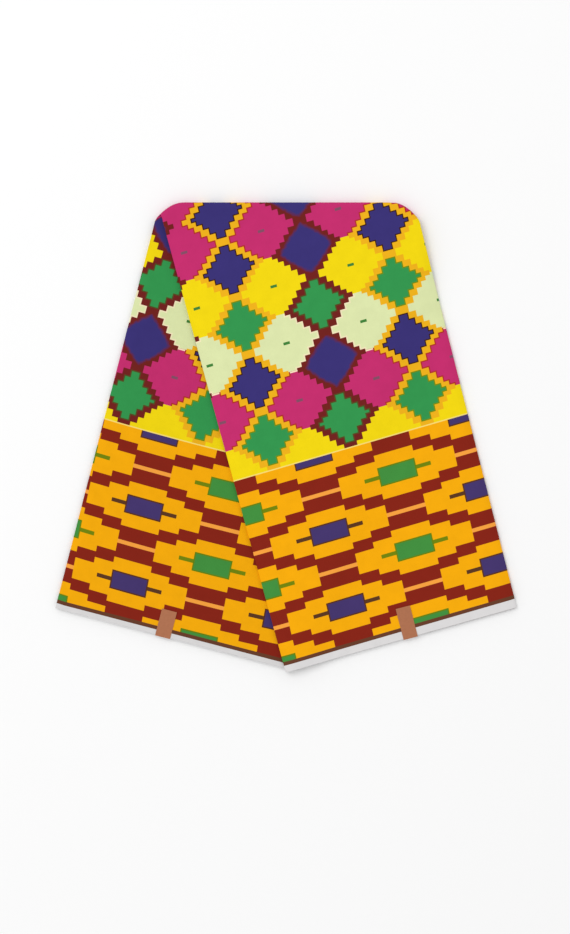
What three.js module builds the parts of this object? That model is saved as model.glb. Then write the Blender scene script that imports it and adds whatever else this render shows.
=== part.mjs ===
// A length of printed cotton, pleated back and forth into a strip and folded once in its middle.
// Millimetres, +Z up, the folded top edge toward +Y. The front half lies over the back half.
import * as THREE from 'three';

// Cloth and how closely its pleats lie.
const SHEET = 1.0;
const PITCH = 1.35;
const STRIP_WIDTH = 320;
const HALF_GAP = 0.2;
const FOLD_STEPS = 4;
const BEND_STEPS = 6;

// A row for each pleat, the outermost first. from and to run across the strip, 0 at the cut edge.
// lead_near and lead_far say how far its selvedge runs past the outermost one, at 0 and at the full width.
const PLEATS = [
  { from: 0, to: 320, lead_near: 0.0, lead_far: 0.0 },
  { from: 320, to: 10, lead_near: 0.4, lead_far: 1.6 },
  { from: 10, to: 310, lead_near: 0.2, lead_far: 2.4 },
  { from: 310, to: 13.5, lead_near: 0.9, lead_far: 3.6 },
  { from: 13.5, to: 319, lead_near: 0.7, lead_far: 4.0 },
  { from: 319, to: 0, lead_near: 1.2, lead_far: 4.8 },
];

// Stops across each pleat: close together at both rounded corners, and in between about the step down.
const NEAR_STOPS = [3.5, 7, 10.5, 14.5, 20, 27];
const FAR_STOPS = [291, 298, 304, 309, 312.5, 316];
const MIDDLE = { first: 30, last: 288, step_from: 36, step_to: 268 };

// Stops along each half, from the selvedge (1) to the bend (0).
const ALONG_FRONT = [1, 0.965, 0.929, 0.7, 0.45, 0.217, 0.17, 0.12, 0.07, 0.03, 0];
const ALONG_BACK = [0.04, 0.1, 0.5, 1];

// The top fold: a row for each end, with the end's place and the width of its rounded corner.
const CREST = {
  near: { x: -163.3, drop: 15.2, corner: 30 },
  far: { x: 172.2, drop: 20.5, corner: 32 },
};

// The selvedge ends of the two halves, a row for each corner of the plan.
const FRONT_END = { near: { x: -0.7, y: -608.8 }, far: { x: 301.0, y: -528.8 } };
const BACK_END = { near: { x: -300.3, y: -528.3 }, far: { x: 0.9, y: -609.7 } };

// How the halves turn aside as they come off the fold, and how much more the back half's near corner does.
const SHOULDER = { turn: 3.2, near_corner: 4.3, reach: 40 };

// Where the front half comes down beside the back half.
const STEP = { margin: 6, ramp: 62, ease: 60 };

// How the loose cut edges and the far fold of the top pleats sag, a row for each.
const SAG = {
  front_cut: { upto: 10, depth: 1.5 },
  back_cut: { upto: 13.5, depth: 2.0 },
  front_fold: { beyond: 309, span: 11, depth: 1.2 },
};

// Paper labels: the lower near corner, the size, the turn in degrees, the height of the cloth under them.
const LABEL_SHEET = 1.0;
const LABEL_GAP = 0.3;
const LABELS = [
  { name: 'label_left', x: -170.6, y: -561.1, width: 20, length: 37, turn: -14.6 },
  { name: 'label_right', x: 151.8, y: -567.5, width: 19, length: 42, turn: 14.6 },
];

const COLOURS = { cloth: 0xd98a1e, paper: 0xb27352 };

const OUTER_RADIUS = HALF_GAP + SHEET / 2 + (PLEATS.length - 1) * PITCH;
const AXIS_Z = OUTER_RADIUS + SHEET / 2;
const STEP_DOWN = AXIS_Z + HALF_GAP;

function lerp(a, b, f) {
  return a + (b - a) * f;
}

function smooth(f) {
  const c = Math.min(Math.max(f, 0), 1);
  return c * c * (3 - 2 * c);
}

// The top fold's plan line at a fraction s of the width: place, and how far it has turned down a corner.
function crestAt(s) {
  const span = CREST.far.x - CREST.near.x;
  const near = Math.max(0, 1 - (s * span) / CREST.near.corner);
  const far = Math.max(0, 1 - ((1 - s) * span) / CREST.far.corner);
  const drop = CREST.near.drop * near * near + CREST.far.drop * far * far;
  const nearSlope = (2 * CREST.near.drop * near) / CREST.near.corner;
  const farSlope = (2 * CREST.far.drop * far) / CREST.far.corner;
  const stretch = Math.hypot(1, Math.max(nearSlope, farSlope));
  return { x: lerp(CREST.near.x, CREST.far.x, s), y: -drop, stretch };
}

// How far a point lies past the back half's far edge, toward the front half's far edge.
function pastBackEdge(x, y) {
  const top = bendStart(1, BACK_END);
  const lean = (top.x - BACK_END.far.x) / (top.y - BACK_END.far.y);
  return x - (BACK_END.far.x + (y - BACK_END.far.y) * lean);
}

// The sag of a pleat's edge, toward the inside of its stack.
function sagAt(pleat, t, onFront, onBack) {
  let sag = 0;
  if (pleat < 0.25 && t < SAG.front_cut.upto) {
    sag -= onFront * SAG.front_cut.depth * ((SAG.front_cut.upto - t) / SAG.front_cut.upto) ** 2;
  }
  if (pleat > PLEATS.length - 1.25 && t < SAG.back_cut.upto) {
    sag += onBack * SAG.back_cut.depth * ((SAG.back_cut.upto - t) / SAG.back_cut.upto) ** 2;
  }
  if (pleat < 1.25 && t > SAG.front_fold.beyond) {
    sag -= onFront * SAG.front_fold.depth * ((t - SAG.front_fold.beyond) / SAG.front_fold.span) ** 2;
  }
  return sag;
}

// The stops across the strip on one line of it, following the step down from the back half's far edge.
function stopsAt(edge) {
  const from = Math.min(Math.max(edge, MIDDLE.step_from), MIDDLE.step_to);
  const to = Math.min(from + STEP.ramp, MIDDLE.last - 4);
  const middle = [];
  for (const f of [1 / 3, 2 / 3, 1]) {
    middle.push(lerp(MIDDLE.first, from, f));
  }
  for (const f of [0.25, 0.5, 0.75, 1]) {
    middle.push(lerp(from, to, f));
  }
  for (const f of [1 / 3, 2 / 3]) {
    middle.push(lerp(to, MIDDLE.last, f));
  }
  return middle;
}

// The pleated section as a path: across t, height h above the bend's axis, the normal, the pleat number.
function sectionPath(middle) {
  const path = [];
  PLEATS.forEach((row, k) => {
    const h = OUTER_RADIUS - k * PITCH;
    const way = Math.sign(row.to - row.from);
    const turn = (PITCH + SHEET) / 2;
    const start = k === 0 ? row.from : row.from + way * turn;
    const stop = k === PLEATS.length - 1 ? row.to : row.to - way * turn;
    const low = Math.min(start, stop);
    const high = Math.max(start, stop);
    const near = NEAR_STOPS.filter((t) => t > low + 1);
    const far = FAR_STOPS.filter((t) => t < high - 1);
    const stops = [...near, ...middle, ...far];
    const ordered = way > 0 ? stops : stops.slice().reverse();
    for (const t of [start, ...ordered, stop]) {
      path.push({ t, h, nt: 0, nh: way, pleat: k });
    }
    if (k < PLEATS.length - 1) {
      for (let i = 1; i < FOLD_STEPS; i += 1) {
        const a = (i / FOLD_STEPS) * Math.PI;
        path.push({
          t: stop + (way * Math.sin(a) * PITCH) / 2,
          h: h - (PITCH / 2) * (1 - Math.cos(a)),
          nt: Math.sin(a),
          nh: way * Math.cos(a),
          pleat: k + i / FOLD_STEPS,
        });
      }
    }
  });
  return path;
}

// Where a line across the front half, at a fraction f from the bend, meets the start of the step down.
function stepStart(f) {
  let low = 0;
  let high = STRIP_WIDTH;
  for (let i = 0; i < 40; i += 1) {
    const t = (low + high) / 2;
    const b = bendStart(t / STRIP_WIDTH, FRONT_END);
    const past = pastBackEdge(lerp(b.x, b.endX, f), lerp(b.y, b.endY, f));
    if (past > STEP.margin) {
      high = t;
    } else {
      low = t;
    }
  }
  return (low + high) / 2;
}

// The closed outline of the section: one face of the cloth there, the other face back.
function sectionRing(edge) {
  const path = sectionPath(stopsAt(edge));
  const face = (side) => path.map((p) => ({
    t: p.t + (side * p.nt * SHEET) / 2,
    h: p.h + (side * p.nh * SHEET) / 2,
    pleat: p.pleat,
  }));
  return [...face(1), ...face(-1).reverse()];
}

// A pleat's lead at the selvedge, read between the rows of the table.
function leadAt(pleat, s) {
  const k = Math.min(Math.floor(pleat), PLEATS.length - 2);
  const near = lerp(PLEATS[k].lead_near, PLEATS[k + 1].lead_near, pleat - k);
  const far = lerp(PLEATS[k].lead_far, PLEATS[k + 1].lead_far, pleat - k);
  return lerp(near, far, s);
}

// The two ends of a line along a half: where the bend starts, and at the selvedge.
function bendStart(s, end) {
  const top = crestAt(s);
  const y = top.y - OUTER_RADIUS * top.stretch;
  return { x: top.x, y, endX: lerp(end.near.x, end.far.x, s), endY: lerp(end.near.y, end.far.y, s) };
}

// A point of the straight part of a half, at a fraction f from the bend (0) to the selvedge (1).
function onHalf(point, f, end, side) {
  const s = point.t / STRIP_WIDTH;
  const b = bendStart(s, end);
  const length = Math.hypot(b.endX - b.x, b.endY - b.y);
  const g = f * (1 + leadAt(point.pleat, s) / length);
  const turned = smooth((f * length) / SHOULDER.reach) * (1 - f);
  const aside = SHOULDER.turn + (side > 0 ? 0 : SHOULDER.near_corner * (1 - s) ** 2);
  const x = lerp(b.x, b.endX, g) + side * aside * turned;
  const y = lerp(b.y, b.endY, g);
  const eased = smooth((f * length) / STEP.ease);
  if (side > 0) {
    const h = point.h + sagAt(point.pleat, point.t, eased, 0);
    const down = STEP_DOWN * eased * smooth((pastBackEdge(x, y) - STEP.margin) / STEP.ramp);
    return [x, y, AXIS_Z + h - down];
  }
  return [x, y, AXIS_Z - point.h - sagAt(point.pleat, point.t, 0, eased)];
}

// A point of the bend, at an angle from the front half (90 degrees) over the crest (0) to the back (-90).
function onBend(point, angle) {
  const s = point.t / STRIP_WIDTH;
  const b = bendStart(s, FRONT_END);
  const y = b.y + point.h * crestAt(s).stretch * Math.cos(angle);
  return [b.x, y, AXIS_Z + point.h * Math.sin(angle)];
}

function clothGeometry() {
  const rows = [];
  for (const f of ALONG_FRONT) {
    rows.push(sectionRing(stepStart(f)).map((p) => onHalf(p, f, FRONT_END, 1)));
  }
  const ring = sectionRing(stepStart(0));
  for (let i = 1; i <= BEND_STEPS; i += 1) {
    const angle = Math.PI / 2 - (i / BEND_STEPS) * Math.PI;
    rows.push(ring.map((p) => onBend(p, angle)));
  }
  for (const f of ALONG_BACK) {
    rows.push(ring.map((p) => onHalf(p, f, BACK_END, -1)));
  }
  // Each cell is cut along the same diagonal in every layer, so the layers stay apart.
  const n = ring.length;
  const index = [];
  for (let r = 0; r + 1 < rows.length; r += 1) {
    for (let i = 0; i < n; i += 1) {
      const j = (i + 1) % n;
      const a = r * n;
      const b = a + n;
      if (ring[j].t > ring[i].t) {
        index.push(a + i, b + i, a + j);
        index.push(a + j, b + i, b + j);
      } else {
        index.push(a + i, b + i, b + j);
        index.push(a + i, b + j, a + j);
      }
    }
  }
  const last = (rows.length - 1) * n;
  for (let i = 0; i + 1 < n / 2; i += 1) {
    const other = n - 1 - i;
    index.push(i, i + 1, other);
    index.push(i + 1, other - 1, other);
    index.push(last + i, last + other, last + i + 1);
    index.push(last + i + 1, last + other, last + other - 1);
  }
  const geometry = new THREE.BufferGeometry();
  geometry.setAttribute('position', new THREE.Float32BufferAttribute(rows.flat(2), 3));
  geometry.setIndex(index);
  return outward(geometry);
}

// Turns the faces round when they enclose a negative volume.
function outward(geometry) {
  const p = geometry.attributes.position;
  const index = Array.from(geometry.index.array);
  const a = new THREE.Vector3();
  const b = new THREE.Vector3();
  const c = new THREE.Vector3();
  let volume = 0;
  for (let i = 0; i < index.length; i += 3) {
    a.fromBufferAttribute(p, index[i]);
    b.fromBufferAttribute(p, index[i + 1]);
    c.fromBufferAttribute(p, index[i + 2]);
    volume += a.dot(b.cross(c));
  }
  if (volume < 0) {
    for (let i = 0; i < index.length; i += 3) {
      [index[i + 1], index[i + 2]] = [index[i + 2], index[i + 1]];
    }
    geometry.setIndex(index);
  }
  geometry.computeVertexNormals();
  return geometry;
}

function labelGeometry(row) {
  const geometry = new THREE.BoxGeometry(row.width, row.length, LABEL_SHEET);
  const under = 2 * OUTER_RADIUS + SHEET - STEP_DOWN;
  geometry.translate(row.width / 2, row.length / 2, LABEL_SHEET / 2);
  geometry.rotateZ(THREE.MathUtils.degToRad(row.turn));
  geometry.translate(row.x, row.y, under + LABEL_GAP);
  return geometry;
}

function build() {
  const group = new THREE.Group();
  group.name = 'folded_cloth';
  const cotton = new THREE.MeshStandardMaterial({ color: COLOURS.cloth, roughness: 0.85, metalness: 0 });
  const paper = new THREE.MeshStandardMaterial({ color: COLOURS.paper, roughness: 0.8, metalness: 0 });
  const pieces = [['cloth', clothGeometry(), cotton]];
  for (const row of LABELS) {
    pieces.push([row.name, labelGeometry(row), paper]);
  }
  const box = new THREE.Box3();
  for (const [, geometry] of pieces) {
    geometry.computeBoundingBox();
    box.union(geometry.boundingBox);
  }
  const middle = box.getCenter(new THREE.Vector3());
  for (const [name, geometry, material] of pieces) {
    geometry.translate(-middle.x, -middle.y, -box.min.z);
    const mesh = new THREE.Mesh(geometry, material);
    mesh.name = name;
    group.add(mesh);
  }
  return group;
}

export default build();
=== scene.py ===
"""A length of wax printed cotton, pleated into a strip, folded once and lying on a pale surface."""

import logging
import math
from dataclasses import dataclass
from enum import Enum

import bmesh
import bpy
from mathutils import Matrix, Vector


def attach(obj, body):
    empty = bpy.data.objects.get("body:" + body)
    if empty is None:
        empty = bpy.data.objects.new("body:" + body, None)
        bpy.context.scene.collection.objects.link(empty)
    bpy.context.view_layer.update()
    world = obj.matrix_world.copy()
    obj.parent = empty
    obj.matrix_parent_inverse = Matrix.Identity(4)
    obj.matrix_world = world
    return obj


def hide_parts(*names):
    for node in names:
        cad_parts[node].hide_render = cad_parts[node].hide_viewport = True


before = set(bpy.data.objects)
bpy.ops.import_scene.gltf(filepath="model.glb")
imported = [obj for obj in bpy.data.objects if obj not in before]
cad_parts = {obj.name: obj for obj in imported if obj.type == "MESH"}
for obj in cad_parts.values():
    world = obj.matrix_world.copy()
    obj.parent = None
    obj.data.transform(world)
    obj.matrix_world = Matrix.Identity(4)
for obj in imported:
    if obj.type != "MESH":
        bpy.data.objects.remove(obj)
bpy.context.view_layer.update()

LOG = logging.getLogger("folded_cloth")
MM = 0.001
SCREEN_TOP = 255.0
# Millimetres that a full colour channel stands for in a table of steps.
CHANNEL_MM = 100.0
Socket = bpy.types.NodeSocket
Colour = tuple[float, float, float, float]


def lerp(a: float, b: float, f: float) -> float:
    """Returns the value a fraction f of the way from a to b."""
    return a + (b - a) * f


def smooth(f: float) -> float:
    """Returns a soft step from 0 to 1 as f goes from 0 to 1."""
    c = min(max(f, 0.0), 1.0)
    return c * c * (3.0 - 2.0 * c)


class Ink(Enum):
    """The dyes of the print and the plain colours beside it, as screen red, green and blue."""

    PINK = (197, 47, 110)
    YELLOW = (243, 216, 17)
    PALE = (221, 230, 173)
    PURPLE = (59, 51, 118)
    LEAF = (52, 150, 79)
    GOLD_LINE = (239, 178, 28)
    RED_LINE = (114, 35, 31)
    ORANGE = (248, 173, 10)
    BROWN = (135, 37, 23)
    PEACH = (248, 163, 65)
    NAVY = (70, 55, 110)
    GRASS = (67, 144, 64)
    DARK_BAR = (92, 57, 34)
    OLIVE_BAR = (114, 133, 15)
    CREAM = (248, 222, 120)
    SELVEDGE = (221, 219, 219)
    EDGE_LINE = (104, 62, 43)
    DARK_RIM = (62, 30, 16)
    PLUM_RIM = (88, 50, 34)
    FERN_RIM = (98, 131, 21)
    OLIVE_RIM = (110, 139, 18)
    MOSS_RIM = (82, 78, 36)
    RUST_RIM = (178, 48, 40)
    BLUSH = (253, 230, 196)
    LEAF_DASH = (64, 130, 58)
    GREY_DASH = (132, 78, 102)

    def linear(self) -> Colour:
        """Returns the ink as a linear colour with full alpha."""
        return (*(screen_to_linear(v / SCREEN_TOP) for v in self.value), 1.0)


def screen_to_linear(value: float) -> float:
    """Returns a screen colour channel, from 0 to 1, as linear light."""
    return value / 12.92 if value <= 0.04045 else ((value + 0.055) / 1.055) ** 2.4


class NodeBoard:
    """Places shader nodes in one tree and joins them up."""

    def __init__(self, tree: bpy.types.NodeTree) -> None:
        """Keeps the tree that the nodes go in."""
        self.tree = tree

    def node(self, kind: str) -> bpy.types.Node:
        """Returns a new node of that kind."""
        return self.tree.nodes.new(kind)

    def join(self, value: "Socket | float | Colour", socket: Socket) -> None:
        """Links a socket to another, or sets its plain value.

        Args:
            value: what goes in, a socket or a plain value.
            socket: where it goes.
        """
        if isinstance(value, bpy.types.NodeSocket):
            self.tree.links.new(value, socket)
        else:
            socket.default_value = value

    def math(self, operation: str, *values: "Socket | float") -> Socket:
        """Returns the result of a math node.

        Args:
            operation: Blender's name of the operation.
            values: the operands, sockets or plain numbers.

        Returns:
            The node's value socket.
        """
        node = self.node("ShaderNodeMath")
        node.operation = operation
        for value, socket in zip(values, node.inputs):
            self.join(value, socket)
        return node.outputs[0]

    def below(self, value: "Socket | float", limit: "Socket | float") -> Socket:
        """Returns 1 where a value is below a limit, and 0 elsewhere."""
        return self.math("LESS_THAN", value, limit)

    def both(self, a: Socket, b: Socket) -> Socket:
        """Returns 1 where both masks are 1."""
        return self.math("MULTIPLY", a, b)

    def either(self, a: Socket, b: Socket) -> Socket:
        """Returns the greater of two masks."""
        return self.math("MAXIMUM", a, b)

    def other(self, mask: Socket) -> Socket:
        """Returns the mask turned round."""
        return self.math("SUBTRACT", 1.0, mask)

    def from_middle(self, value: Socket, pitch: float) -> Socket:
        """Returns how far a value is from the nearest multiple of a pitch."""
        return self.math("PINGPONG", value, pitch / 2.0)

    def paint(self, under: "Socket | Colour", mask: "Socket | float", over: "Socket | Colour") -> Socket:
        """Returns one colour laid over another through a mask.

        Args:
            under: the colour where the mask is 0.
            mask: the share of the colour on top.
            over: the colour where the mask is 1.

        Returns:
            The mixed colour's socket.
        """
        node = self.node("ShaderNodeMix")
        node.data_type = "RGBA"
        self.join(mask, node.inputs[0])
        self.join(under, node.inputs[6])
        self.join(over, node.inputs[7])
        return node.outputs[2]

    def steps(self, value: Socket, span: float, rows: list[tuple[float, Colour]]) -> Socket:
        """Returns a colour that changes in hard steps.

        Args:
            value: what the steps are read along.
            span: the value at the end of the table.
            rows: where each step starts, and its colour.

        Returns:
            The stepped colour's socket.
        """
        node = self.node("ShaderNodeValToRGB")
        ramp = node.color_ramp
        ramp.interpolation = "CONSTANT"
        while len(ramp.elements) < len(rows):
            ramp.elements.new(0.5)
        for element, (start, colour) in zip(ramp.elements, rows):
            element.position = start / span
            element.color = colour
        self.join(self.math("DIVIDE", value, span), node.inputs[0])
        return node.outputs[0]

    def split(self, colour: Socket) -> tuple[Socket, Socket]:
        """Returns the first two channels of a colour as values.

        Args:
            colour: the colour's socket.

        Returns:
            The first channel's socket and the second's.
        """
        node = self.node("ShaderNodeSeparateColor")
        self.join(colour, node.inputs[0])
        return node.outputs[0], node.outputs[1]


@dataclass(frozen=True)
class DiamondStep:
    """One step of a stepped diamond, in millimetres."""

    upto: float
    inner: float
    outer: float

    def packed(self) -> Colour:
        """Returns the two half widths in the first channels of a colour."""
        return self.inner / CHANNEL_MM, self.outer / CHANNEL_MM, 0.0, 1.0


@dataclass(frozen=True)
class BandStep:
    """One step of the border's stepped bands, in millimetres from the motif's middle."""

    low: float
    high: float

    def packed(self) -> Colour:
        """Returns the two heights in the first channels of a colour."""
        return self.low / CHANNEL_MM, self.high / CHANNEL_MM, 0.0, 1.0


@dataclass(frozen=True)
class WaxPrint:
    """The print's chart: a stepped border along each selvedge, and striped rows of stepped diamonds."""

    column: float = 103.6
    row: float = 75.8
    half_width: float = 590.85
    edge_line: float = 4.9
    border_top: float = 248.7
    cream_half: float = 0.75
    first_row: float = 287.7
    border_pitch: float = 100.1
    navy_row: float = 250.6
    panel_across: float = 25.3
    panel_up: float = 12.3
    panel_rim: float = 1.9
    bar_reach: float = 44.8
    bar_half: float = 2.55
    rim: float = 1.6
    halo: float = 1.7
    soft_across: float = 33.4
    soft_up: float = 32.4
    soft_edge: float = 0.2
    soft_wander: float = 0.12
    soft_grain: float = 0.16
    dash_across: float = 4.3
    dash_up: float = 1.8
    bow_depth: float = 2.6
    bow_middle: float = 1637.6
    bow_half: float = 140.0
    bow_rise: float = 0.2
    soft_round: float = 1.14
    blush_half: float = 0.9
    blush_share: float = 0.7
    stripe_rows: int = 6
    diamond: tuple[DiamondStep, ...] = (
        DiamondStep(3.25, 34.7, 46.0),
        DiamondStep(8.85, 29.0, 39.3),
        DiamondStep(15.85, 21.7, 32.4),
        DiamondStep(24.3, 14.4, 25.2),
        DiamondStep(32.75, 6.9, 17.6),
        DiamondStep(37.9, 0.0, 8.8),
    )
    bands: tuple[BandStep, ...] = (
        BandStep(29.0, 47.5),
        BandStep(21.4, 36.4),
        BandStep(13.65, 28.65),
        BandStep(2.55, 21.05),
    )

    @property
    def table(self) -> float:
        """The height that the tables of rows reach."""
        return self.stripe_rows * self.row

    def colour(self, board: NodeBoard, along: Socket, across: Socket, bow: Socket) -> Socket:
        """Returns the colour of the print.

        Args:
            board: where the nodes go.
            along: millimetres along the cut length, from a gold column.
            across: millimetres in from the edge line of the nearest selvedge.
            bow: millimetres that the edge line lies outward of the print.

        Returns:
            The print's colour socket.
        """
        field = self.field(board, along, across)
        border = self.border(board, along, across)
        off_line = board.math("ABSOLUTE", board.math("SUBTRACT", across, self.border_top))
        picture = board.paint(field, board.below(across, self.border_top), border)
        picture = board.paint(picture, board.below(off_line, self.cream_half), Ink.CREAM.linear())
        edge = board.math("ADD", across, bow)
        picture = board.paint(picture, board.below(edge, self.edge_line), Ink.EDGE_LINE.linear())
        return board.paint(picture, board.below(edge, 0.0), Ink.SELVEDGE.linear())

    def edge_bow(self, board: NodeBoard, along: Socket, width: Socket) -> Socket:
        """Returns how far the second selvedge's edge line lies outward of the print's own bow.

        Args:
            board: where the nodes go.
            along: millimetres along the cut length.
            width: millimetres across the cloth from the first edge line.

        Returns:
            The distance in millimetres, less than 0 where the line lies inward.
        """
        part = board.math("DIVIDE", board.math("SUBTRACT", along, self.bow_middle), self.bow_half)
        dip = board.math("SUBTRACT", board.math("MULTIPLY", part, part), 1.0)
        bow = board.math("MINIMUM", dip, self.bow_rise)
        second = board.below(self.half_width, width)
        return board.math("MULTIPLY", board.math("MULTIPLY", bow, self.bow_depth), second)

    def border(self, board: NodeBoard, along: Socket, across: Socket) -> Socket:
        """Returns the colour of the border's stepped bands and panels.

        Args:
            board: where the nodes go.
            along: millimetres along the cut length.
            across: millimetres in from the edge line.

        Returns:
            The border's colour socket.
        """
        unit = self.column / 4.0
        off_navy = board.math("PINGPONG", board.math("SUBTRACT", along, self.column / 2.0), self.column)
        off_grass = board.math("SUBTRACT", self.column, off_navy)
        up_navy = board.from_middle(board.math("SUBTRACT", across, self.navy_row), self.border_pitch)
        up_grass = board.math("SUBTRACT", self.border_pitch / 2.0, up_navy)
        rows = [(k * unit, step.packed()) for k, step in enumerate(self.bands)]
        low, high = board.split(board.steps(off_navy, self.column, rows))
        height = board.math("DIVIDE", up_navy, CHANNEL_MM)
        under = board.below(height, low)
        over = board.other(board.below(height, high))
        colour = board.paint(Ink.BROWN.linear(), board.either(under, over), Ink.ORANGE.linear())
        peach = board.either(
            board.both(board.below(off_navy, unit), over), board.both(board.below(off_grass, unit), under)
        )
        colour = board.paint(colour, peach, Ink.PEACH.linear())
        for off, up, panel, bar, rim in (
            (off_navy, up_navy, Ink.NAVY, Ink.DARK_BAR, Ink.PLUM_RIM),
            (off_grass, up_grass, Ink.GRASS, Ink.OLIVE_BAR, Ink.FERN_RIM),
        ):
            bars = board.both(board.below(off, self.bar_reach), board.below(up, self.bar_half))
            whole = board.both(board.below(off, self.panel_across), board.below(up, self.panel_up))
            inside = board.both(
                board.below(off, self.panel_across - self.panel_rim),
                board.below(up, self.panel_up - self.panel_rim),
            )
            colour = board.paint(colour, bars, bar.linear())
            colour = board.paint(colour, whole, rim.linear())
            colour = board.paint(colour, inside, panel.linear())
        return colour

    def stepped(self, board: NodeBoard, off: Socket, up: Socket, grow: float) -> tuple[Socket, Socket]:
        """Returns the inner and outer masks of the stepped diamonds.

        Args:
            board: where the nodes go.
            off: millimetres from the column's middle.
            up: millimetres from the row's middle.
            grow: how much larger the shape is made all round.

        Returns:
            The inner mask and the outer mask.
        """
        starts = [0.0] + [step.upto for step in self.diamond[:-1]]
        rows = [(start, step.packed()) for start, step in zip(starts, self.diamond)]
        higher = board.math("MAXIMUM", board.math("SUBTRACT", up, grow), 0.0)
        inner, outer = board.split(board.steps(higher, self.row / 2.0, rows))
        wide = board.math("DIVIDE", board.math("SUBTRACT", off, grow), CHANNEL_MM)
        return board.below(wide, inner), board.below(wide, outer)

    def row_mask(self, board: NodeBoard, up: Socket, marks: tuple[tuple[int, float], ...]) -> Socket:
        """Returns a mask that changes at whole rows.

        Args:
            board: where the nodes go.
            up: millimetres up the rows.
            marks: the rows where the mask changes, and its value from there.

        Returns:
            The mask's socket.
        """
        return board.steps(up, self.table, [(k * self.row, (m, m, m, 1.0)) for k, m in marks])

    def soft_mask(self, board: NodeBoard, off: Socket, up: Socket, along: Socket, across: Socket) -> Socket:
        """Returns the mask of the hearts whose dye has run a little.

        Args:
            board: where the nodes go.
            off: millimetres from the column's middle.
            up: millimetres from the row's middle.
            along: millimetres along the cut length.
            across: millimetres in from the edge line.

        Returns:
            The mask's socket, soft at its rim.
        """
        wide_part = board.math("POWER", board.math("DIVIDE", off, self.soft_across), self.soft_round)
        high_part = board.math("POWER", board.math("DIVIDE", up, self.soft_up), self.soft_round)
        reach = board.math("ADD", wide_part, high_part)
        spot = board.node("ShaderNodeCombineXYZ")
        board.join(along, spot.inputs["X"])
        board.join(across, spot.inputs["Y"])
        noise = board.node("ShaderNodeTexNoise")
        board.join(spot.outputs[0], noise.inputs["Vector"])
        noise.inputs["Scale"].default_value = self.soft_grain
        noise.inputs["Detail"].default_value = 1.0
        centred = board.math("SUBTRACT", noise.outputs["Fac"], 0.5)
        wander = board.math("MULTIPLY", centred, self.soft_wander * 2.0)
        reach = board.math("ADD", reach, wander)
        soft = board.math("MULTIPLY_ADD", board.math("SUBTRACT", 1.0, reach), 1.0 / self.soft_edge, 0.5)
        return board.math("MINIMUM", board.math("MAXIMUM", soft, 0.0), 1.0)

    def field(self, board: NodeBoard, along: Socket, across: Socket) -> Socket:
        """Returns the colour of the striped rows of diamonds.

        Args:
            board: where the nodes go.
            along: millimetres along the cut length.
            across: millimetres in from the edge line.

        Returns:
            The field's colour socket.
        """
        from_row = board.math("SUBTRACT", across, self.first_row)
        off = board.from_middle(along, self.column)
        up = board.from_middle(from_row, self.row)
        gold = board.below(board.math("PINGPONG", along, self.column), self.column / 2.0)
        stripe_at = board.math("ADD", from_row, self.row)
        stripes = (Ink.YELLOW, Ink.PINK, Ink.PALE, Ink.YELLOW, Ink.PINK)
        rows = [(k * self.row, stripe.linear()) for k, stripe in enumerate(stripes)]
        colour = board.steps(stripe_at, self.table, rows)
        pink = self.row_mask(board, stripe_at, ((0, 0.0), (1, 1.0), (2, 0.0), (4, 1.0)))
        at_pale = board.math("ABSOLUTE", board.math("SUBTRACT", from_row, self.row))
        colour = board.paint(colour, board.below(at_pale, self.blush_half), Ink.BLUSH.linear())
        dash = board.both(
            board.below(self.column / 2.0 - self.dash_across, off),
            board.below(self.row / 2.0 - self.dash_up, up),
        )
        dash = board.both(dash, board.below(0.0, from_row))
        dash_ink = board.paint(Ink.LEAF_DASH.linear(), pink, Ink.GREY_DASH.linear())
        colour = board.paint(colour, dash, dash_ink)
        inner, outer = self.stepped(board, off, up, 0.0)
        kernel, _ = self.stepped(board, off, up, -self.rim)
        _, wide = self.stepped(board, off, up, self.halo)
        rust = board.both(board.both(wide, pink), gold)
        colour = board.paint(colour, rust, Ink.RUST_RIM.linear())
        pale = self.row_mask(board, stripe_at, ((0, 0.0), (2, 1.0), (3, 0.0)))
        blush = board.both(board.both(wide, pale), board.other(gold))
        colour = board.paint(colour, board.math("MULTIPLY", blush, self.blush_share), Ink.BLUSH.linear())
        line = board.paint(Ink.RED_LINE.linear(), gold, Ink.GOLD_LINE.linear())
        colour = board.paint(colour, outer, line)
        row_at = board.math("ADD", from_row, self.row / 2.0)
        leaf = self.row_mask(board, row_at, ((0, 1.0), (1, 0.0), (2, 1.0), (3, 0.0)))
        heart = board.paint(Ink.PURPLE.linear(), leaf, Ink.LEAF.linear())
        leaf_rim = board.paint(Ink.MOSS_RIM.linear(), gold, Ink.OLIVE_RIM.linear())
        rim = board.paint(Ink.DARK_RIM.linear(), leaf, leaf_rim)
        sharp = board.paint(board.paint(colour, inner, rim), kernel, heart)
        soft = self.soft_mask(board, off, up, along, across)
        soft_heart = board.paint(colour, soft, Ink.PURPLE.linear())
        blurred = board.both(board.other(leaf), board.other(gold))
        return board.paint(sharp, blurred, soft_heart)


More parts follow.
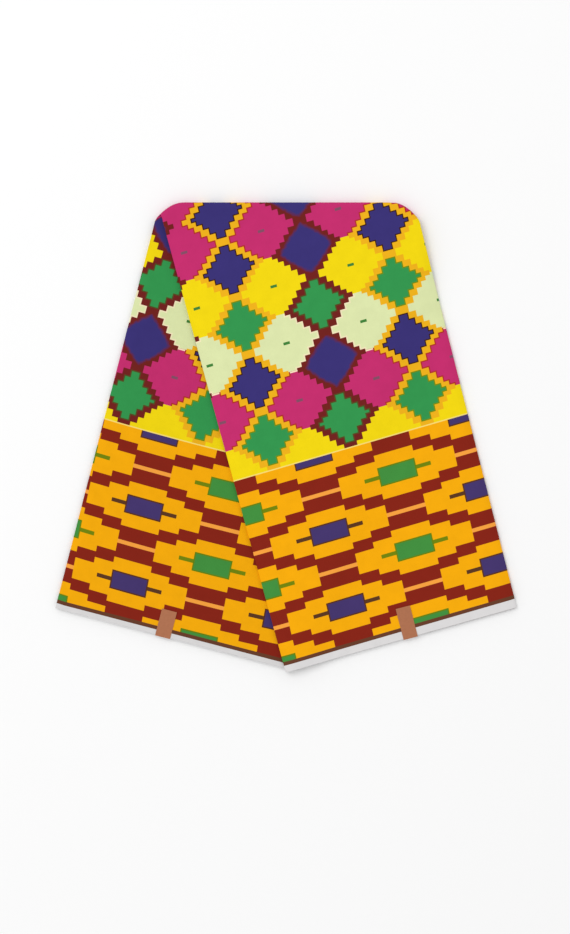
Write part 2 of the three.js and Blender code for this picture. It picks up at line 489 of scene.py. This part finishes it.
class SharedEffects:
    """Node groups that more than one finish uses."""

    @staticmethod
    def mottle() -> bpy.types.NodeTree:
        """Makes the soft unevenness of dyed fibres.

        Returns:
            A group that puts out a value about 1 that varies over the surface.
        """
        tree = bpy.data.node_groups.new("fibre_mottle", "ShaderNodeTree")
        tree.interface.new_socket("Vector", in_out="INPUT", socket_type="NodeSocketVector")
        tree.interface.new_socket("Scale", in_out="INPUT", socket_type="NodeSocketFloat")
        tree.interface.new_socket("Amount", in_out="INPUT", socket_type="NodeSocketFloat")
        tree.interface.new_socket("Value", in_out="OUTPUT", socket_type="NodeSocketFloat")
        board = NodeBoard(tree)
        given = board.node("NodeGroupInput")
        noise = board.node("ShaderNodeTexNoise")
        noise.inputs["Detail"].default_value = 5.0
        noise.inputs["Roughness"].default_value = 0.6
        board.join(given.outputs["Vector"], noise.inputs["Vector"])
        board.join(given.outputs["Scale"], noise.inputs["Scale"])
        centred = board.math("SUBTRACT", noise.outputs["Fac"], 0.5)
        spread = board.math("MULTIPLY", centred, given.outputs["Amount"])
        board.join(board.math("ADD", spread, 1.0), board.node("NodeGroupOutput").inputs["Value"])
        return tree


@dataclass(frozen=True)
class PrintedCotton:
    """Matt plain-woven cotton with a wax print."""

    chart: WaxPrint = WaxPrint()
    thread: float = 0.42
    mottle: float = 0.16
    mottle_scale: float = 60.0
    # Share by which the back half's colour is made darker; blend below is the width in millimetres that it
    # fades in over, about the middle of the cloth.
    back_darkening: float = 0.06
    blend: float = 90.0
    roughness: float = 0.9
    specular: float = 0.06
    weave_height: float = 0.05
    weave_strength: float = 0.35

    def material(self, mottle: bpy.types.NodeTree) -> bpy.types.Material:
        """Makes the cloth's material, read from its flat cut.

        Args:
            mottle: the shared unevenness group.

        Returns:
            The finished material.
        """
        made = bpy.data.materials.new("printed_cotton")
        made.use_nodes = True
        board = NodeBoard(made.node_tree)
        shader = made.node_tree.nodes["Principled BSDF"]
        flat = board.node("ShaderNodeUVMap")
        flat.uv_map = "flat_cut"
        parts = board.node("ShaderNodeSeparateXYZ")
        board.join(flat.outputs["UV"], parts.inputs[0])
        along = board.math("MULTIPLY", parts.outputs["X"], 1.0 / MM)
        width = board.math("MULTIPLY", parts.outputs["Y"], 1.0 / MM)
        from_middle = board.math("ABSOLUTE", board.math("SUBTRACT", width, self.chart.half_width))
        across = board.math("SUBTRACT", self.chart.half_width, from_middle)
        bow = self.chart.edge_bow(board, along, width)
        print_colour = self.chart.colour(board, along, across, bow)
        uneven = board.node("ShaderNodeGroup")
        uneven.node_tree = mottle
        board.join(flat.outputs["UV"], uneven.inputs["Vector"])
        uneven.inputs["Scale"].default_value = self.mottle_scale
        uneven.inputs["Amount"].default_value = self.mottle
        # The back half, past the middle of the cloth's width, is made darker in colour by a set share, on
        # top of the mottle.
        past = board.math("DIVIDE", board.math("SUBTRACT", width, self.chart.half_width), self.blend)
        second = board.math("MINIMUM", board.math("MAXIMUM", board.math("ADD", past, 0.5), 0.0), 1.0)
        mottle_and_darkening = board.math("SUBTRACT", uneven.outputs["Value"], board.math("MULTIPLY", second, self.back_darkening))
        tone = board.node("ShaderNodeVectorMath")
        tone.operation = "SCALE"
        board.join(print_colour, tone.inputs[0])
        board.join(mottle_and_darkening, tone.inputs["Scale"])
        board.join(tone.outputs[0], shader.inputs["Base Color"])
        shader.inputs["Roughness"].default_value = self.roughness
        shader.inputs["Specular IOR Level"].default_value = self.specular
        turn = math.pi / self.thread
        warp = board.math("SINE", board.math("MULTIPLY", along, turn))
        weft = board.math("SINE", board.math("MULTIPLY", width, turn))
        bump = board.node("ShaderNodeBump")
        bump.inputs["Strength"].default_value = self.weave_strength
        bump.inputs["Distance"].default_value = self.weave_height * MM
        board.join(board.math("MULTIPLY", warp, weft), bump.inputs["Height"])
        board.join(bump.outputs["Normal"], shader.inputs["Normal"])
        return made


@dataclass(frozen=True)
class LabelPaper:
    """Plain brown paper with a faint fibre."""

    base: tuple[int, int, int] = (172, 109, 75)
    roughness: float = 0.7
    specular: float = 0.3
    fibre_scale: float = 260.0
    fibre: float = 0.22
    tooth: float = 0.1
    tooth_strength: float = 0.3

    def material(self, mottle: bpy.types.NodeTree) -> bpy.types.Material:
        """Makes the labels' material.

        Args:
            mottle: the shared unevenness group.

        Returns:
            The finished material.
        """
        made = bpy.data.materials.new("label_paper")
        made.use_nodes = True
        board = NodeBoard(made.node_tree)
        shader = made.node_tree.nodes["Principled BSDF"]
        place = board.node("ShaderNodeTexCoord")
        uneven = board.node("ShaderNodeGroup")
        uneven.node_tree = mottle
        board.join(place.outputs["Object"], uneven.inputs["Vector"])
        uneven.inputs["Scale"].default_value = self.fibre_scale
        uneven.inputs["Amount"].default_value = self.fibre
        tone = board.node("ShaderNodeVectorMath")
        tone.operation = "SCALE"
        tone.inputs[0].default_value = tuple(screen_to_linear(v / SCREEN_TOP) for v in self.base)
        board.join(uneven.outputs["Value"], tone.inputs["Scale"])
        board.join(tone.outputs[0], shader.inputs["Base Color"])
        shader.inputs["Roughness"].default_value = self.roughness
        shader.inputs["Specular IOR Level"].default_value = self.specular
        bump = board.node("ShaderNodeBump")
        bump.inputs["Strength"].default_value = self.tooth_strength
        bump.inputs["Distance"].default_value = self.tooth * MM
        board.join(uneven.outputs["Value"], bump.inputs["Height"])
        board.join(bump.outputs["Normal"], shader.inputs["Normal"])
        return made


@dataclass(frozen=True)
class PaleFloor:
    """A matt, nearly white floor."""

    tone: float = 0.97
    roughness: float = 0.9
    specular: float = 0.1

    def material(self) -> bpy.types.Material:
        """Makes the floor's material.

        Returns:
            The finished material.
        """
        made = bpy.data.materials.new("pale_floor")
        made.use_nodes = True
        shader = made.node_tree.nodes["Principled BSDF"]
        shader.inputs["Base Color"].default_value = (self.tone, self.tone, self.tone, 1.0)
        shader.inputs["Roughness"].default_value = self.roughness
        shader.inputs["Specular IOR Level"].default_value = self.specular
        return made


class Half(Enum):
    """The parts of the folded strip, from the front selvedge over the fold to the back one."""

    FRONT = 1
    BEND = 0
    BACK = -1


@dataclass(frozen=True)
class Pleat:
    """One layer of the strip, in millimetres: its ends across the strip, and its selvedge's lead."""

    start: float
    stop: float
    lead_near: float
    lead_far: float


@dataclass(frozen=True)
class FoldEnd:
    """One end of the top fold, in millimetres: its place, and its rounded corner."""

    x: float
    drop: float
    corner: float


@dataclass(frozen=True)
class StripEnd:
    """The selvedge end of one half, in millimetres, from its near to its far corner."""

    near_x: float
    near_y: float
    far_x: float
    far_y: float


@dataclass(frozen=True)
class Sag:
    """How an edge sinks, in millimetres: where it starts, how far on it is deepest, and how deep."""

    start: float
    span: float
    mottle_and_darkening: float

    def at(self, t: float) -> float:
        """Returns how far the edge sinks at a place across the strip."""
        return self.mottle_and_darkening * max(0.0, (t - self.start) / self.span) ** 2


@dataclass(frozen=True)
class Wave:
    """One ripple of the layers: radians per millimetre each way, where it starts, and its share."""

    x: float
    y: float
    start: float
    share: float


@dataclass(frozen=True)
class SectionPoint:
    """A point of the pleated section: across the strip, above the bend's axis, pleat, way along the cut."""

    t: float
    h: float
    pleat: float
    path: float


@dataclass(frozen=True)
class Station:
    """A line across the strip: its half, and the fraction or angle on it."""

    half: Half
    value: float


@dataclass(frozen=True)
class PrintLay:
    """How the print lies on one half, in millimetres about a middle point, with a slight bow per metre."""

    x: float
    y: float
    along: float
    across: float
    along_x: float
    along_y: float
    across_x: float
    across_y: float
    along_bow: tuple[float, float, float] = (0.0, 0.0, 0.0)
    across_bow: tuple[float, float, float] = (0.0, 0.0, 0.0)

    def at(self, x: float, y: float) -> tuple[float, float]:
        """Returns the print's place at a point of the plan.

        Args:
            x: millimetres to the right.
            y: millimetres toward the fold.

        Returns:
            Millimetres along the cut and in from the edge line.
        """
        dx, dy = x - self.x, y - self.y
        square = (dx * dx * MM, dx * dy * MM, dy * dy * MM)
        along = self.along + self.along_x * dx + self.along_y * dy
        across = self.across + self.across_x * dx + self.across_y * dy
        along += sum(k * q for k, q in zip(self.along_bow, square))
        across += sum(k * q for k, q in zip(self.across_bow, square))
        return along, across


@dataclass
class FoldedCloth:
    """The cloth: six pleats in a strip, folded over once, its halves fanned apart. Millimetres."""

    chart: WaxPrint = WaxPrint()
    sheet: float = 0.7
    solid_sheet: float = 1.0
    pitch: float = 1.35
    half_gap: float = 0.2
    width: float = 320.0
    flat_width: float = 1204.0
    flat_length: float = 1840.0
    plan_x: float = 0.293
    plan_y: float = -306.628
    step_margin: float = 6.0
    step_ramp: float = 62.0
    step_ease: float = 60.0
    front_turn: float = 3.6
    front_far_turn: float = 4.6
    back_turn: float = 3.2
    back_near_turn: float = 7.5
    shoulder_reach: float = 40.0
    corner_power: float = 8.0
    tuck_span: float = 9.0
    tuck_reach: float = 5.2
    turn_share: float = 0.25
    relief: float = 0.3
    waves: tuple[Wave, ...] = (
        Wave(0.041, 0.013, 0.6, 0.45),
        Wave(0.017, -0.036, 2.1, 0.35),
        Wave(0.062, 0.051, 4.0, 0.2),
    )
    near: FoldEnd = FoldEnd(-163.3, 15.2, 30.0)
    far: FoldEnd = FoldEnd(170.4, 20.0, 33.0)
    front_end: StripEnd = StripEnd(-0.2, -610.3, 300.4, -526.0)
    back_end: StripEnd = StripEnd(-299.9, -526.7, 2.3, -605.0)
    front_cut: Sag = Sag(14.0, -14.0, 4.2)
    back_cut: Sag = Sag(17.0, -17.0, 3.2)
    front_fold: Sag = Sag(306.0, 14.0, 3.0)
    pleats: tuple[Pleat, ...] = (
        Pleat(0.0, 320.0, 0.0, 0.0),
        Pleat(320.0, 10.0, 0.2, 0.6),
        Pleat(10.0, 310.0, 0.1, 0.7),
        Pleat(310.0, 13.5, 0.4, 1.1),
        Pleat(13.5, 319.0, 0.3, 1.1),
        Pleat(319.0, 0.0, 0.5, 1.3),
    )
    fold_pull: float = 2.6
    pull_from: float = 125.0
    pull_span: float = 100.0
    edge_step: float = 1.2
    edge_steps: int = 11
    edge_stops: tuple[float, ...] = (16.0, 19.0, 22.5, 26.5, 31.0)
    edge_clear: float = 0.4
    wide_step: float = 7.6
    wide_steps: int = 33
    turn_steps: int = 7
    fine_share: float = 0.12
    front_lines: int = 46
    front_fine: int = 10
    bend_lines: int = 14
    back_fine: int = 8
    back_lines: int = 24
    top_spot: tuple[float, float, float] = (100.0, 0.0, 12.0)
    hidden_columns: int = 16
    hidden_slope: float = 1.1
    hidden_from: float = 0.1
    hidden_span: float = 0.2
    front_lay: PrintLay = PrintLay(57.2, -295.49, 81.87, 277.79, 0.9755, 0.2220, -0.2784, 0.9608)
    back_lay: PrintLay = PrintLay(
        -176.8, -347.49, 54.64, 200.53, -1.0026, 0.2259, 0.2681, 0.9684,
        (0.131, 0.043, 0.129), (-0.139, 0.033, 0.016),
    )

    @property
    def radius(self) -> float:
        """The outermost pleat's bend at the top fold."""
        return self.half_gap + self.solid_sheet / 2.0 + (len(self.pleats) - 1) * self.pitch

    @property
    def axis_z(self) -> float:
        """The height of the bend's axis."""
        return self.radius + self.solid_sheet / 2.0

    def crest(self, s: float) -> tuple[float, float, float]:
        """Returns the top fold's place at a fraction of the width.

        Args:
            s: the fraction of the width, 0 at the cut edge.

        Returns:
            The place, and how much wider the bend is there on a rounded corner.
        """
        span = self.far.x - self.near.x
        near = max(0.0, 1.0 - s * span / self.near.corner)
        far = max(0.0, 1.0 - (1.0 - s) * span / self.far.corner)
        drop = self.near.drop * near * near + self.far.drop * far * far
        near_slope = 2.0 * self.near.drop * near / self.near.corner
        slope = max(near_slope, 2.0 * self.far.drop * far / self.far.corner)
        return lerp(self.near.x, self.far.x, s), -drop, math.hypot(1.0, slope)

    def line(self, s: float, end: StripEnd) -> tuple[float, float, float, float]:
        """Returns the two ends of a line along a half.

        Args:
            s: the fraction of the width.
            end: the half's selvedge end.

        Returns:
            The place where the bend starts, and the place at the selvedge.
        """
        x, y, stretch = self.crest(s)
        return x, y - self.radius * stretch, lerp(end.near_x, end.far_x, s), lerp(end.near_y, end.far_y, s)

    def past_back_edge(self, x: float, y: float) -> float:
        """Returns how far a point of the plan lies past the back half's far edge."""
        top_x, top_y, end_x, end_y = self.line(1.0, self.back_end)
        return x - (end_x + (y - end_y) * (top_x - end_x) / (top_y - end_y))

    def lead(self, pleat: float, s: float) -> float:
        """Returns how far a pleat's selvedge runs past the outermost one's.

        Args:
            pleat: the pleat's number, with a fraction in a turn.
            s: the fraction of the width.

        Returns:
            The distance in millimetres.
        """
        k = min(int(pleat), len(self.pleats) - 2)
        a, b = self.pleats[k], self.pleats[k + 1]
        near = lerp(a.lead_near, b.lead_near, pleat - k)
        return lerp(near, lerp(a.lead_far, b.lead_far, pleat - k), s)

    def sag(self, point: SectionPoint, half: Half) -> float:
        """Returns how far an edge sinks toward the inside of its stack.

        Args:
            point: the point of the section.
            half: the half that it lies on.

        Returns:
            The change of the point's height above the bend's axis.
        """
        sunk = 0.0
        if half is Half.FRONT and point.pleat < self.turn_share:
            sunk -= self.front_cut.at(point.t)
        if half is Half.FRONT and point.pleat < 1.0 + self.turn_share:
            sunk -= self.front_fold.at(point.t)
        if half is Half.BACK and self.innermost(point):
            sunk += self.back_cut.at(point.t)
        return sunk

    def innermost(self, point: SectionPoint) -> bool:
        """Returns whether a point lies on the pleat inside the fold, the back half's top layer."""
        return point.pleat > len(self.pleats) - 1 - self.turn_share

    def waviness(self, x: float, y: float) -> float:
        """Returns the faint unevenness that all the layers share.

        Args:
            x: millimetres to the right.
            y: millimetres toward the fold.

        Returns:
            The height that it adds.
        """
        ripple = 1.0
        for wave in self.waves:
            ripple += wave.share * math.sin(wave.x * x + wave.y * y + wave.start)
        return self.relief * ripple

    def shoulder(self, s: float, half: Half) -> float:
        """Returns how far a half swings outward below the top fold.

        Args:
            s: the fraction of the width.
            half: the front or the back.

        Returns:
            The distance in millimetres.
        """
        if half is Half.FRONT:
            return lerp(self.front_turn, self.front_far_turn, s)
        return lerp(self.back_turn, self.back_near_turn, (1.0 - s) ** 2)

    def at_corner(self, s: float) -> float:
        """Returns how much of that swing already starts in the fold, which is all of it at a corner."""
        return max(s, 1.0 - s) ** self.corner_power

    def tucked(self, point: SectionPoint) -> float:
        """Returns how much further the innermost pleat's cut edge reaches up into the fold's corner."""
        return self.tuck_reach * smooth(1.0 - point.t / self.tuck_span) if self.innermost(point) else 0.0

    def on_half(self, point: SectionPoint, f: float, half: Half) -> tuple[float, float, float]:
        """Returns a point of the straight part of a half.

        Args:
            point: the point of the section.
            f: the fraction from the bend to the selvedge.
            half: the front or the back.

        Returns:
            The place in the plan, and the height.
        """
        s = point.t / self.width
        x, y, end_x, end_y = self.line(s, self.front_end if half is Half.FRONT else self.back_end)
        length = math.hypot(end_x - x, end_y - y)
        g = f * (1.0 + self.lead(point.pleat, s) / length)
        turned = lerp(smooth(f * length / self.shoulder_reach), 1.0, self.at_corner(s))
        px = lerp(x, end_x, g) + half.value * self.shoulder(s, half) * turned * (1.0 - f)
        py = lerp(y, end_y, g)
        eased = smooth(f * length / self.step_ease)
        h = point.h + eased * self.sag(point, half)
        lift = eased * self.waviness(px, py)
        if half is Half.BACK:
            return px, py, self.axis_z - h + lift
        past = (self.past_back_edge(px, py) - self.step_margin) / self.step_ramp
        return px, py, self.axis_z + h - (self.axis_z + self.half_gap) * eased * smooth(past) + lift

    def place(self, point: SectionPoint, station: Station) -> tuple[float, float, float]:
        """Returns a point of the folded cloth.

        Args:
            point: the point of the section.
            station: the line across the strip.

        Returns:
            The place in the plan, and the height.
        """
        if station.half is not Half.BEND:
            return self.on_half(point, station.value, station.half)
        s = point.t / self.width
        x, y, _, _ = self.line(s, self.front_end)
        half = Half.FRONT if station.value > 0.0 else Half.BACK
        turned = self.at_corner(s) * smooth(abs(station.value) / (math.pi / 2.0))
        x += half.value * self.shoulder(s, half) * turned
        reach = (point.h + self.tucked(point)) * self.crest(s)[2]
        return x, y + reach * math.cos(station.value), self.axis_z + point.h * math.sin(station.value)

    def section(self) -> list[SectionPoint]:
        """Lays out the pleated section.

        Returns:
            Its points, from one cut edge to the other.
        """
        points: list[SectionPoint] = []
        near = [self.edge_step * k for k in range(1, self.edge_steps + 1)] + list(self.edge_stops)
        stops = near + [near[-1] + self.wide_step * k for k in range(1, self.wide_steps + 1)]
        stops += [self.width - t for t in reversed(near[:-1])]
        turn = (self.pitch + self.solid_sheet) / 2.0
        last = len(self.pleats) - 1
        path = 0.0
        for k, pleat in enumerate(self.pleats):
            h = self.radius - k * self.pitch
            way = 1.0 if pleat.stop > pleat.start else -1.0
            start = pleat.start + (way * turn if k > 0 else 0.0)
            stop = pleat.stop - (way * turn if k < last else 0.0)
            low, high = min(start, stop) + self.edge_clear, max(start, stop) - self.edge_clear
            between = [t for t in stops if low < t < high]
            ordered = [start] + (between if way > 0 else between[::-1]) + [stop]
            points += [SectionPoint(t, h, float(k), path + abs(t - start)) for t in ordered]
            path += abs(stop - start)
            if k < last:
                for i in range(1, self.turn_steps):
                    a = math.pi * i / self.turn_steps
                    t = stop + way * math.sin(a) * self.pitch / 2.0
                    drop = self.pitch / 2.0 * (1.0 - math.cos(a))
                    way_round = path + a * self.pitch / 2.0
                    points.append(SectionPoint(t, h - drop, k + i / self.turn_steps, way_round))
                path += math.pi * self.pitch / 2.0
        return points

    def stations(self) -> list[Station]:
        """Lays out the lines across the strip, closer together near the fold.

        Returns:
            The lines, from the front selvedge over the fold to the back one.
        """
        coarse = 1.0 - self.fine_share
        front = [1.0 - coarse * k / self.front_lines for k in range(self.front_lines)]
        front += [self.fine_share * (1.0 - k / self.front_fine) for k in range(self.front_fine + 1)]
        bend = [math.pi / 2.0 - math.pi * k / self.bend_lines for k in range(1, self.bend_lines + 1)]
        back = [self.fine_share * k / self.back_fine for k in range(1, self.back_fine + 1)]
        back += [self.fine_share + coarse * k / self.back_lines for k in range(1, self.back_lines + 1)]
        lines = [Station(Half.FRONT, f) for f in front] + [Station(Half.BEND, a) for a in bend]
        return lines + [Station(Half.BACK, f) for f in back]

    def on_front_print(self, point: SectionPoint, station: Station) -> tuple[float, float]:
        """Returns the print's place on the front half or the fold's upper side.

        Args:
            point: the point of the section.
            station: the line across the strip.

        Returns:
            Millimetres along the cut, and across it from the first edge line.
        """
        x, y, _ = self.place(point, station)
        along, across = self.front_lay.at(x, y)
        return along, across + self.fold_pull * smooth((y + self.pull_from) / self.pull_span)

    def on_back_print(self, point: SectionPoint, f: float) -> tuple[float, float]:
        """Returns the print's place on the back half.

        Args:
            point: the point of the section.
            f: the fraction from the bend to the selvedge.

        Returns:
            Millimetres along the cut, and across it from the first edge line.
        """
        along, across = self.back_lay.at(*self.on_half(point, f, Half.BACK)[:2])
        return along + self.hidden_columns * self.chart.column, 2.0 * self.chart.half_width - across

    def flat_cut(
        self, point: SectionPoint, station: Station, folds: tuple[SectionPoint, SectionPoint]
    ) -> Vector:
        """Returns a point's place on the flat cloth.

        Args:
            point: the point of the section.
            station: the line across the strip.
            folds: the section's first and last far folds.

        Returns:
            Metres along the cut from a gold column, and across it from the first edge line.
        """
        angle = station.value if station.half is Half.BEND else 0.0
        seen = station if station.half is Half.FRONT else Station(Half.BEND, max(angle, 0.0))
        on_back = station.value if station.half is Half.BACK else 0.0
        first, second = folds
        if point.path <= first.path:
            along = self.on_front_print(point, seen)[0]
        elif point.path >= second.path:
            along = self.on_back_print(point, on_back)[0]
        else:
            f = (point.path - first.path) / (second.path - first.path)
            along = lerp(self.on_front_print(first, seen)[0], self.on_back_print(second, on_back)[0], f)
        if station.half is Half.FRONT:
            return Vector((along * MM, self.on_front_print(point, station)[1] * MM))
        s = point.t / self.width
        start = self.on_front_print(point, Station(Half.FRONT, 0.0))[1]
        landing = self.on_back_print(point, 0.0)[1]
        round_fold = math.pi * point.h * (1.0 + self.crest(s)[2]) / 2.0
        hidden = smooth((s - self.hidden_slope * on_back - self.hidden_from) / self.hidden_span)
        slip = (start + round_fold - landing) * hidden
        if station.half is Half.BACK:
            return Vector((along * MM, (self.on_back_print(point, on_back)[1] + slip) * MM))
        way = landing + slip - start
        true_share = min(1.0, round_fold / way)
        u = 0.5 - angle / math.pi
        return Vector((along * MM, (start + way * (true_share * u + (1.0 - true_share) * u * u)) * MM))

    def build(self, material: bpy.types.Material) -> bpy.types.Object:
        """Makes the cloth: a flat grid, folded by the same sizes as its solid.

        Args:
            material: the printed cotton.

        Returns:
            The cloth's object.
        """
        section, stations = self.section(), self.stations()
        last = float(len(self.pleats) - 1)
        first = max((p for p in section if p.pleat == 0.0), key=lambda p: p.t)
        second = max((p for p in section if p.pleat == last), key=lambda p: p.t)
        wide, long = len(section) - 1, len(stations) - 1
        mesh = bmesh.new()
        bmesh.ops.create_grid(mesh, x_segments=wide, y_segments=long, size=1.0)
        flat = mesh.loops.layers.uv.new("flat_cut")
        for vert in mesh.verts:
            point = section[round((vert.co.x + 1.0) / 2.0 * wide)]
            station = stations[round((vert.co.y + 1.0) / 2.0 * long)]
            x, y, z = self.place(point, station)
            cut = self.flat_cut(point, station, (first, second))
            for loop in vert.link_loops:
                loop[flat].uv = cut
            vert.co = Vector(((x - self.plan_x) * MM, (y - self.plan_y) * MM, z * MM))
        spot = Vector(self.top_spot) * MM
        top = min(mesh.faces, key=lambda f: (f.calc_center_median() - spot).length)
        if top.normal.z < 0.0:
            bmesh.ops.reverse_faces(mesh, faces=mesh.faces[:])
        return soft_sheet("printed_cloth", mesh, material, self.sheet)

    def dress(self, piece: bpy.types.Object) -> None:
        """Seats the cloth in the frame and hides its solid part.

        Args:
            piece: the cloth's object.
        """
        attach(piece, "root")
        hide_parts("cloth")


@dataclass
class PaperLabel:
    """A blank paper strip on a selvedge. Millimetres."""

    node: str
    x: float
    y: float
    width: float
    length: float
    turn: float
    paper: float = 0.35
    base: float = 8.0
    curl: float = 0.5
    curl_even: float = 0.6
    cells_across: int = 8
    cells_along: int = 16

    def build(self, cloth: FoldedCloth, material: bpy.types.Material) -> bpy.types.Object:
        """Makes the label: a fine grid, laid on the cloth with its upper end lifting a little.

        Args:
            cloth: the cloth that it lies on.
            material: the paper.

        Returns:
            The label's object.
        """
        mesh = bmesh.new()
        bmesh.ops.create_grid(mesh, x_segments=self.cells_across, y_segments=self.cells_along, size=0.5)
        c, s = math.cos(math.radians(self.turn)), math.sin(math.radians(self.turn))
        for vert in mesh.verts:
            u, v = vert.co.x + 0.5, vert.co.y + 0.5
            x = self.x + c * u * self.width - s * v * self.length
            y = self.y + s * u * self.width + c * v * self.length
            lift = self.base + cloth.waviness(x, y) + self.curl * v**3 * lerp(self.curl_even, 1.0, u)
            vert.co = Vector(((x - cloth.plan_x) * MM, (y - cloth.plan_y) * MM, lift * MM))
        return soft_sheet(self.node + "_paper", mesh, material, self.paper)

    def dress(self, piece: bpy.types.Object) -> None:
        """Seats the label in the frame.

        Args:
            piece: the label's object.
        """
        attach(piece, "root")
        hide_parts(self.node)


def finished(name: str, mesh: bmesh.types.BMesh, material: bpy.types.Material) -> bpy.types.Object:
    """Turns a bmesh into an object of the scene.

    Args:
        name: the piece's name.
        mesh: the shape, which is freed.
        material: the piece's finish.

    Returns:
        The new object.
    """
    data = bpy.data.meshes.new(name)
    mesh.to_mesh(data)
    mesh.free()
    data.materials.append(material)
    made = bpy.data.objects.new(name, data)
    bpy.context.scene.collection.objects.link(made)
    return made


def soft_sheet(
    name: str, mesh: bmesh.types.BMesh, material: bpy.types.Material, thickness: float
) -> bpy.types.Object:
    """Turns a thin grid into a smooth sheet with a thickness.

    Args:
        name: the piece's name.
        mesh: the grid, which is freed.
        material: the piece's finish.
        thickness: the sheet's thickness in millimetres.

    Returns:
        The new object.
    """
    for face in mesh.faces:
        face.smooth = True
    for edge in mesh.edges:
        edge.smooth = not edge.is_boundary
    made = finished(name, mesh, material)
    skin = made.modifiers.new("sheet_thickness", "SOLIDIFY")
    skin.thickness = thickness * MM
    skin.offset = 0.0
    return made


@dataclass
class Studio:
    """A pale floor, soft light and a camera straight above. Metres."""

    camera_height: float = 3.6
    frame_height: float = 1.2142
    frame_x: float = -0.0016
    frame_y: float = -0.037
    surface: float = 0.008
    sky: float = 0.74
    key_power: float = 95.0
    key_size: float = 3.2
    lamp_at: tuple[float, float, float] = (-1.9, 1.5, 4.8)
    sensor: float = 36.0
    camera_reach: float = 50.0
    floor_half: float = 20.0

    def floor(self) -> bpy.types.Object:
        """Makes the pale floor.

        Returns:
            The floor's object.
        """
        mesh = bmesh.new()
        bmesh.ops.create_grid(mesh, x_segments=2, y_segments=2, size=self.floor_half)
        piece = finished("pale_floor", mesh, PaleFloor().material())
        return piece

    def lights(self) -> None:
        """Sets the even sky and one large soft lamp from the upper left."""
        world = bpy.data.worlds.new("studio_sky")
        world.use_nodes = True
        back = world.node_tree.nodes["Background"]
        back.inputs["Color"].default_value = (1.0, 1.0, 1.0, 1.0)
        back.inputs["Strength"].default_value = self.sky
        bpy.context.scene.world = world
        lamp = bpy.data.lights.new("key_lamp", "AREA")
        lamp.energy = self.key_power
        lamp.size = self.key_size
        holder = bpy.data.objects.new("key_lamp", lamp)
        holder.location = self.lamp_at
        holder.rotation_mode = "QUATERNION"
        holder.rotation_quaternion = (-holder.location).to_track_quat("-Z", "Y")
        bpy.context.scene.collection.objects.link(holder)

    def camera(self) -> None:
        """Sets the camera straight above, with a long lens."""
        lens = bpy.data.cameras.new("camera")
        lens.sensor_width = self.sensor
        lens.lens = self.sensor * (self.camera_height - self.surface) / self.frame_height
        lens.clip_end = self.camera_reach
        holder = bpy.data.objects.new("camera", lens)
        holder.location = (self.frame_x, self.frame_y, self.camera_height)
        bpy.context.scene.collection.objects.link(holder)
        bpy.context.scene.camera = holder

    def tone(self) -> None:
        """Shows colours as they are."""
        view = bpy.context.scene.view_settings
        view.view_transform = "Standard"
        view.look = "None"
        view.exposure = 0.0
        view.gamma = 1.0


def main() -> None:
    """Builds the cloth, its labels and the studio, and reports each piece."""
    logging.basicConfig(level=logging.INFO, format="%(name)s: %(message)s")
    mottle = SharedEffects.mottle()
    cloth = FoldedCloth()
    piece = cloth.build(PrintedCotton(cloth.chart).material(mottle))
    cloth.dress(piece)
    LOG.info("%s: %d faces", piece.name, len(piece.data.polygons))
    paper = LabelPaper().material(mottle)
    labels = (
        PaperLabel("label_left", x=-170.2, y=-562.4, width=20.0, length=36.0, turn=-14.6),
        PaperLabel("label_right", x=153.0, y=-568.6, width=19.0, length=41.6, turn=14.6),
    )
    for label in labels:
        strip = label.build(cloth, paper)
        label.dress(strip)
        LOG.info("%s: %d faces", strip.name, len(strip.data.polygons))
    studio = Studio()
    studio.floor()
    studio.lights()
    studio.camera()
    studio.tone()


if __name__ == "__main__":
    main()
